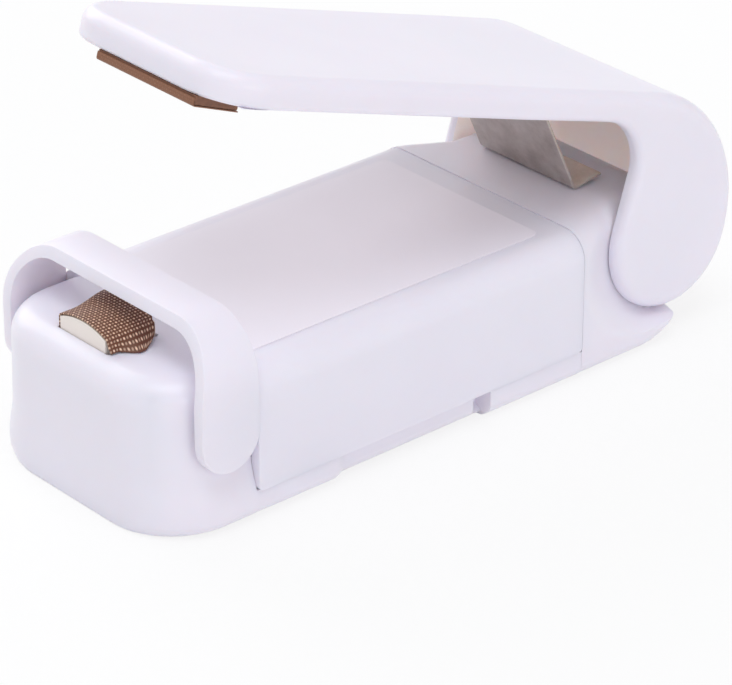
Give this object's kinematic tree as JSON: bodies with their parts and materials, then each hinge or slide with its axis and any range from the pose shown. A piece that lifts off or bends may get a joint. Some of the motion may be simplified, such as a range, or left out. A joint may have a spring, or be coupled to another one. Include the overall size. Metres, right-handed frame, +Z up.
{
  "type": "mini bag sealer",
  "caption": "Hand-held heat sealer for plastic bags: a sprung press lever closes a pad on a small heater behind a swing-over safety guard.",
  "frame": {"origin": "centre of the resting footprint, on the surface the sealer stands on", "axes": "+X from the sealing nose to the lever's hinge, +Y to the side that the picture hides, +Z up"},
  "size_m": [0.0938, 0.0378, 0.0554],
  "materials": {
    "white_shell": "glossy moulded ABS, white with a faint lavender cast",
    "white_base": "fine spark-eroded texture",
    "label_film": "clear sticker left unprinted",
    "cell_wrap": "plain metallic sleeve",
    "contact_brass": "stamped strip",
    "spring_steel": "drawn wire",
    "fastener_steel": "turned, zinc plated",
    "leaf_steel": "satin strip with a grey-brown temper colour",
    "heater_cream": "heat-resistant moulding",
    "ribbon_alloy": "rolled resistance ribbon",
    "cloth_brown": "coated glass cloth, dark brown with a pale weave",
    "pad_rubber": "matt silicone rubber",
    "tape_brown": "satin coated glass tape"
  },
  "bodies": {
    "body": {"housing": "white_shell", "bottom_plate": "white_base", "bottom_screws": "fastener_steel", "cell_left": "cell_wrap", "cell_right": "cell_wrap", "front_contact_positive": "contact_brass", "front_contact_negative": "contact_brass", "front_contact_spring": "spring_steel", "rear_bridge_contact": "contact_brass", "rear_contact_spring": "spring_steel", "plunger_springs": "spring_steel"},
    "cover": {"battery_cover": "white_shell", "label_film": "label_film"},
    "heater": {"heater_block": "heater_cream", "heater_ribbon": "ribbon_alloy", "heater_fabric": "cloth_brown", "terminal_clips": "contact_brass"},
    "lever": {"lever_shell": "white_shell", "hinge_pins": "fastener_steel", "press_pad": "pad_rubber", "press_pad_film": "tape_brown", "leaf_spring": "leaf_steel", "spring_rivets": "fastener_steel"},
    "guard": {"guard_strap": "white_shell", "guard_pins": "fastener_steel"}
  },
  "joints": [
    {"name": "lever_hinge", "type": "hinge", "parent": "body", "child": "lever", "pos_m": [0.0365, 0, 0.0136], "axis": [0, -1, 0], "range_deg": [0, 17.2], "stiffness_Nm_per_rad": 0.05, "springref_deg": -17.19, "deforming": ["leaf_spring"]},
    {"name": "guard_hinge", "type": "hinge", "parent": "body", "child": "guard", "pos_m": [-0.03776, 0, 0.0126], "axis": [0, -1, 0], "range_deg": [0, 95]},
    {"name": "cover_lift", "type": "slide", "parent": "body", "child": "cover", "axis": [0, 0, 1], "range_m": [0, 0.006]},
    {"name": "heater_press", "type": "slide", "parent": "body", "child": "heater", "axis": [0, 0, -1], "range_m": [0, 0.0012], "stiffness_N_per_m": 600, "springref_m": -0.0008, "deforming": ["plunger_springs"]}
  ]
}
